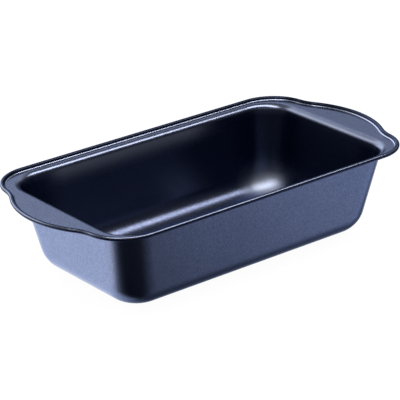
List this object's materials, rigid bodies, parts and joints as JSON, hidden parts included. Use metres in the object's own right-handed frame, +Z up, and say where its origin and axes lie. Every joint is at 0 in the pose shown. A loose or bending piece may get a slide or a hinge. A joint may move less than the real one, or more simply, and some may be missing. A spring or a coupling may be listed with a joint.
{
  "type": "loaf pan",
  "caption": "Oblong sheet steel loaf pan with leaning walls, rounded corners, a wing at each end and a rim rolled over a wire.",
  "frame": {"origin": "middle of the underside of the base, on the plane the pan rests on", "axes": "+X along the pan from one wing to the other, +Y across it, +Z up out of the opening"},
  "size_m": [0.2896, 0.15, 0.0644],
  "materials": {
    "coated_steel": "dark blue-grey non-stick coating, satin, with a fine metallic grain",
    "bare_wire": "plain drawn steel wire"
  },
  "bodies": {
    "root": {"pan_shell": "coated_steel", "rim_wire": "bare_wire"}
  },
  "joints": []
}
